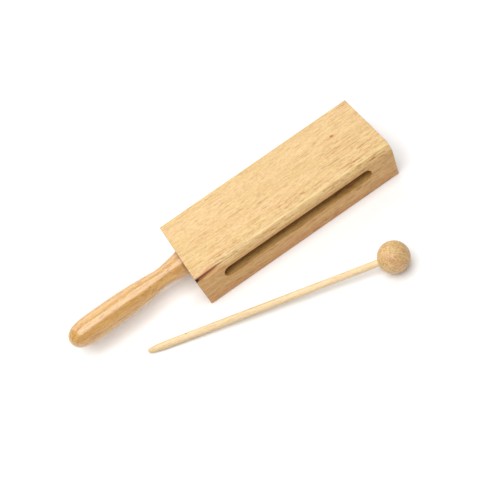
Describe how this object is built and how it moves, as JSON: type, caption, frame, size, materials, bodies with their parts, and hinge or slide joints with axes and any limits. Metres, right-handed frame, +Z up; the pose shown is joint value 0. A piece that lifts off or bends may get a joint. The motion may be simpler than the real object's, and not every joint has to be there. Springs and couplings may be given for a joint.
{
  "type": "tone block",
  "caption": "Hand-held wooden tone block with a long resonance slot, a turned handle glued into its end, and a separate ball-headed mallet lying in front of it.",
  "frame": {"origin": "middle of the block's flat underside, on the surface it lies on", "axes": "+X along the block, away from its handle; +Z up; the slot opens towards -Y, where the mallet lies"},
  "size_m": [0.2873, 0.1432, 0.0363],
  "materials": {
    "block_wood": "sanded and thinly sealed pale hardwood, straight grain along the block",
    "handle_wood": "gloss lacquer over golden brown hardwood",
    "stick_wood": "bare cream hardwood dowel",
    "head_wood": "satin sealed tan hardwood with flecked end grain"
  },
  "bodies": {
    "block": {"block_body": "block_wood", "handle": "handle_wood"},
    "mallet": {"mallet_stick": "stick_wood", "mallet_head": "head_wood"}
  },
  "joints": [
    {"name": "mallet_lift", "type": "slide", "parent": "block", "child": "mallet", "axis": [0, 0, 1], "range_m": [0, 0.12]}
  ]
}
